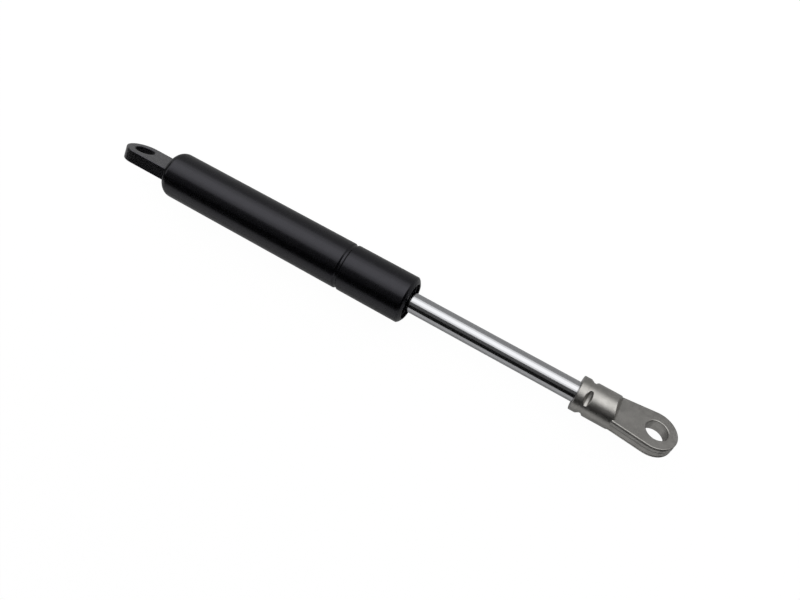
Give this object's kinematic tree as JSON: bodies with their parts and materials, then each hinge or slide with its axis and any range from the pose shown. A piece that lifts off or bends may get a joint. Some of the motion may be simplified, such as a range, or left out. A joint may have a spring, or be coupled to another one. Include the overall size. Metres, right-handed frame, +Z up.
{
  "type": "gas strut stay",
  "caption": "Telescoping gas spring stay: black tube with a welded flat eye, chromed sliding rod with a crimped cast flat eye, seals and damping piston inside.",
  "frame": {"origin": "centre of the base eye's pin hole, halfway through the blade", "axes": "+X along the strut to the rod eye, +Y along the base eye's pin hole, +Z up; the rod eye is turned 23.7 degrees about +X"},
  "size_m": [0.2398, 0.019, 0.019],
  "materials": {
    "black_coat": "satin black powder coat",
    "black_plate": "satin black coat on blanked steel plate",
    "weld_metal": "black coat over a weld bead",
    "plug_steel": "turned steel",
    "washer_steel": "stamped steel",
    "washer_black": "blackened hard steel",
    "seal_rubber": "matt moulded rubber",
    "ptfe": "filled PTFE",
    "sleeve_plastic": "natural moulded plastic",
    "guide_black": "black glass-filled plastic",
    "bush_bronze": "bronze bearing liner",
    "wiper_plastic": "black moulded plastic, polished by the rod",
    "piston_alloy": "die cast",
    "rod_chrome": "polished hard chrome",
    "cast_metal": "satin die cast, warm grey"
  },
  "bodies": {
    "barrel": {"pressure_tube": "black_coat", "base_plug": "plug_steel", "base_plug_o_ring": "seal_rubber", "base_eye": "black_plate", "base_weld": "weld_metal", "seal_support_washer": "washer_steel", "rod_seal": "seal_rubber", "seal_back_ring": "ptfe", "grease_sleeve": "sleeve_plastic", "rod_guide": "guide_black", "guide_o_ring": "seal_rubber", "guide_bush": "bush_bronze", "wiper_ring": "wiper_plastic", "end_washer": "washer_black"},
    "floating_ring": {"piston_ring": "ptfe"},
    "rod": {"piston": "piston_alloy", "piston_valve_disc": "washer_steel", "piston_rear_washer": "washer_steel", "piston_front_washer": "washer_steel", "rebound_bumper": "seal_rubber", "piston_rod": "rod_chrome", "rod_eye": "cast_metal"}
  },
  "joints": [
    {"name": "stroke", "type": "slide", "parent": "barrel", "child": "floating_ring", "axis": [1, 0, 0], "range_m": [-0.06, 0], "stiffness_N_per_m": 500, "springref_m": 0.2},
    {"name": "rod_turn", "type": "hinge", "parent": "floating_ring", "child": "rod", "pos_m": [0.0901, 0, 0], "axis": [1, 0, 0], "continuous": true}
  ]
}
